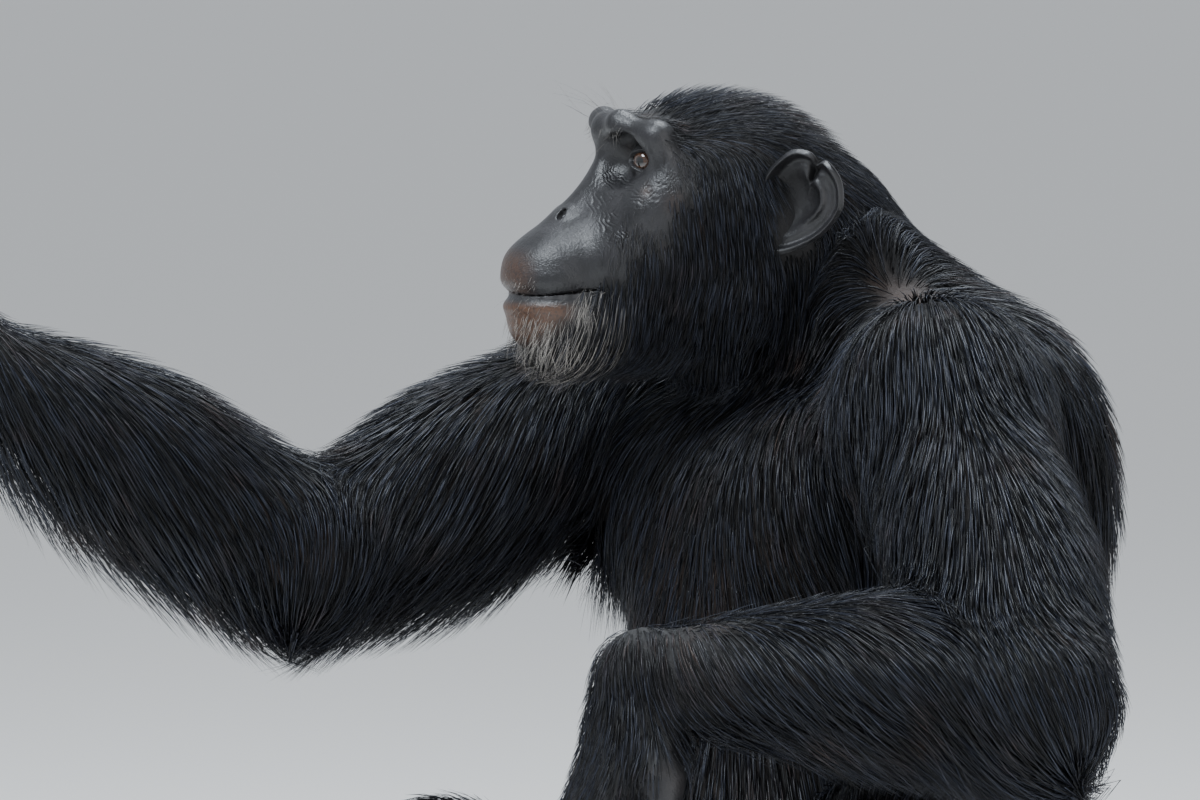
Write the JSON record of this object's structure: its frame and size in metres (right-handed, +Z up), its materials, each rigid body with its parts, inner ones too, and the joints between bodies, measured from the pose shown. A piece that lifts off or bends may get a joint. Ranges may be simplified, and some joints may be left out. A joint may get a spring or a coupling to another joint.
{
  "type": "chimpanzee figure",
  "caption": "Life-size adult male chimpanzee sitting on the ground, one forearm across its raised knee and the other arm reaching forward.",
  "frame": {"origin": "the centre of the box round the animal, at the floor it sits on", "axes": "+Z up, the animal faces -Y, its left side is +X"},
  "size_m": [0.6508, 0.8502, 0.7385],
  "materials": {
    "coat": "black hair with a blue-grey sheen",
    "face_skin": "dark grey bare skin, slightly glossy",
    "hand_skin": "near-black bare skin",
    "eye": "wet dark brown eye"
  },
  "bodies": {
    "root": {"head": "face_skin", "ear_left": "face_skin", "ear_right": "face_skin", "eye_left": "eye", "eye_right": "eye", "neck": "coat", "torso": "coat", "upper_arm_left": "coat", "upper_arm_right": "coat", "forearm_left": "coat", "forearm_right": "coat", "hand_left": "hand_skin", "hand_right": "hand_skin", "thigh_left": "coat", "thigh_right": "coat", "shin_left": "coat", "shin_right": "coat", "foot_left": "hand_skin", "foot_right": "hand_skin"}
  },
  "joints": []
}
